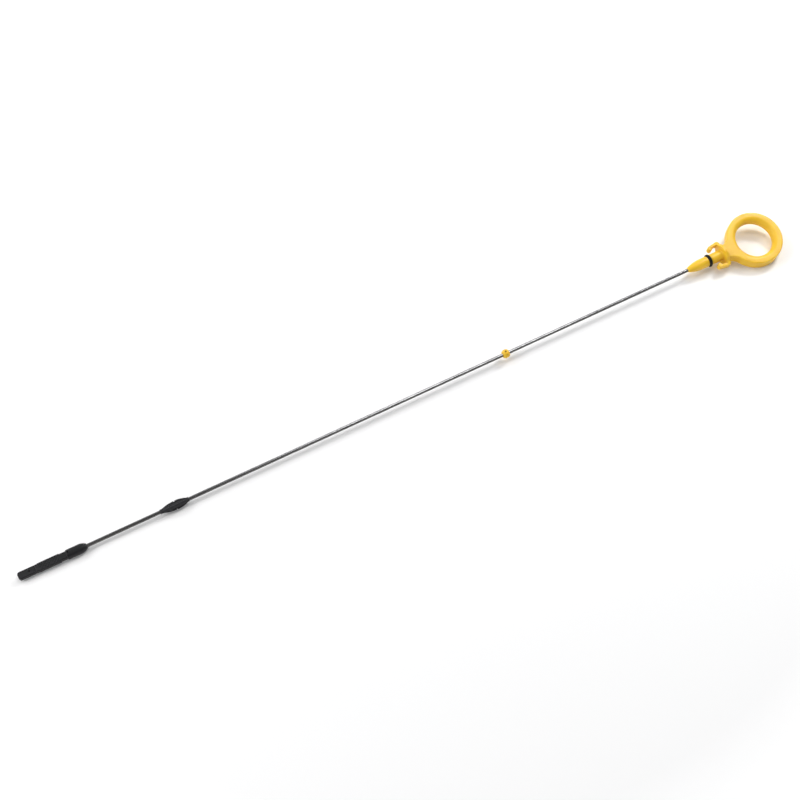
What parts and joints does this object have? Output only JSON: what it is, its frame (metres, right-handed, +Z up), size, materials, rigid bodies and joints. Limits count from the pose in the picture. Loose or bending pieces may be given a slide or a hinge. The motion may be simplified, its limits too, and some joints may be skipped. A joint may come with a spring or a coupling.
{
  "type": "engine oil dipstick",
  "caption": "Oil level gauge: a long steel wire with a moulded finger ring, clip and seal plug at one end and a hatched measuring tip at the other.",
  "frame": {"origin": "on the floor, at the middle of the footprint", "axes": "+X along the stick towards the finger ring, +Z up, as the stick lies at rest"},
  "size_m": [0.5962, 0.0426, 0.0159],
  "materials": {
    "tip_black": "fine mould texture, satin",
    "spacer_black": "moulded, satin",
    "bead_yellow": "moulded, semi-gloss",
    "wire_steel": "smooth drawn, glossy",
    "seal_rubber": "moulded, satin",
    "handle_yellow": "moulded, semi-gloss"
  },
  "bodies": {
    "root": {"measuring_tip": "tip_black", "spacer": "spacer_black", "guide_bead": "bead_yellow", "rod": "wire_steel", "o_ring": "seal_rubber", "handle": "handle_yellow"}
  },
  "joints": []
}
